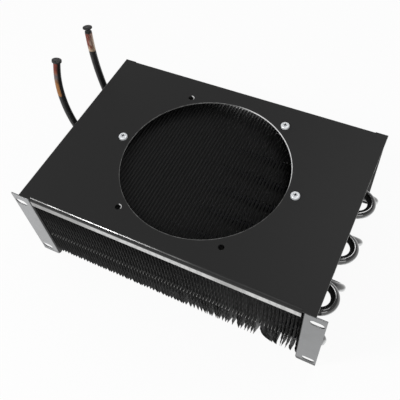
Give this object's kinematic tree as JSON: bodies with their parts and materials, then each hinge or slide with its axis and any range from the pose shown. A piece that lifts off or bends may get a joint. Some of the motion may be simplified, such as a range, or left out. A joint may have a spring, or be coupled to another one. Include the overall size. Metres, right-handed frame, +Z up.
{
  "type": "refrigeration condenser",
  "caption": "Finned-tube condenser coil under a sheet-metal fan shroud, with slotted side brackets and two rising, plugged connection pipes.",
  "frame": {"origin": "centre of the fan opening, on the shroud's top face", "axes": "+X along the tubes from the connection side to the hairpin bends, +Y from the slotted brackets to the back, +Z up, out of the fan opening"},
  "size_m": [0.439, 0.247, 0.1863],
  "materials": {
    "black_powder_coat": "fine-textured black powder coat on steel sheet",
    "galvanised_steel": "galvanised sheet",
    "black_fins": "thin black coating",
    "black_tube": "copper tube under gloss black paint",
    "pipe_copper": "copper, black paint below and bare with heat tint at the end",
    "braze": "copper phosphorus braze under black paint",
    "zinc_fasteners": "bright zinc plate",
    "black_rubber": "satin rubber"
  },
  "bodies": {
    "condenser": {"fan_shroud": "black_powder_coat", "left_end_plate": "galvanised_steel", "right_end_plate": "galvanised_steel", "fin_pack": "black_fins", "braze_rings": "braze", "fan_screws": "zinc_fasteners", "fan_nuts": "zinc_fasteners", "inlet_pipe": "pipe_copper", "outlet_pipe": "pipe_copper", "hairpin_1": "black_tube", "hairpin_2": "black_tube", "hairpin_3": "black_tube", "hairpin_4": "black_tube", "hairpin_5": "black_tube", "hairpin_6": "black_tube", "hairpin_7": "black_tube", "return_bend_1": "black_tube", "return_bend_2": "black_tube", "return_bend_3": "black_tube", "crossover_1": "black_tube", "crossover_2": "black_tube", "crossover_3": "black_tube"},
    "inlet_plug_body": {"inlet_plug": "black_rubber"},
    "outlet_plug_body": {"outlet_plug": "black_rubber"}
  },
  "joints": [
    {"name": "inlet_plug_pull", "type": "slide", "parent": "condenser", "child": "inlet_plug_body", "axis": [-0.0419, 0.1563, 0.9868], "range_m": [0, 0.012]},
    {"name": "outlet_plug_pull", "type": "slide", "parent": "condenser", "child": "outlet_plug_body", "axis": [0.1028, 0.2742, 0.9562], "range_m": [0, 0.012]}
  ]
}
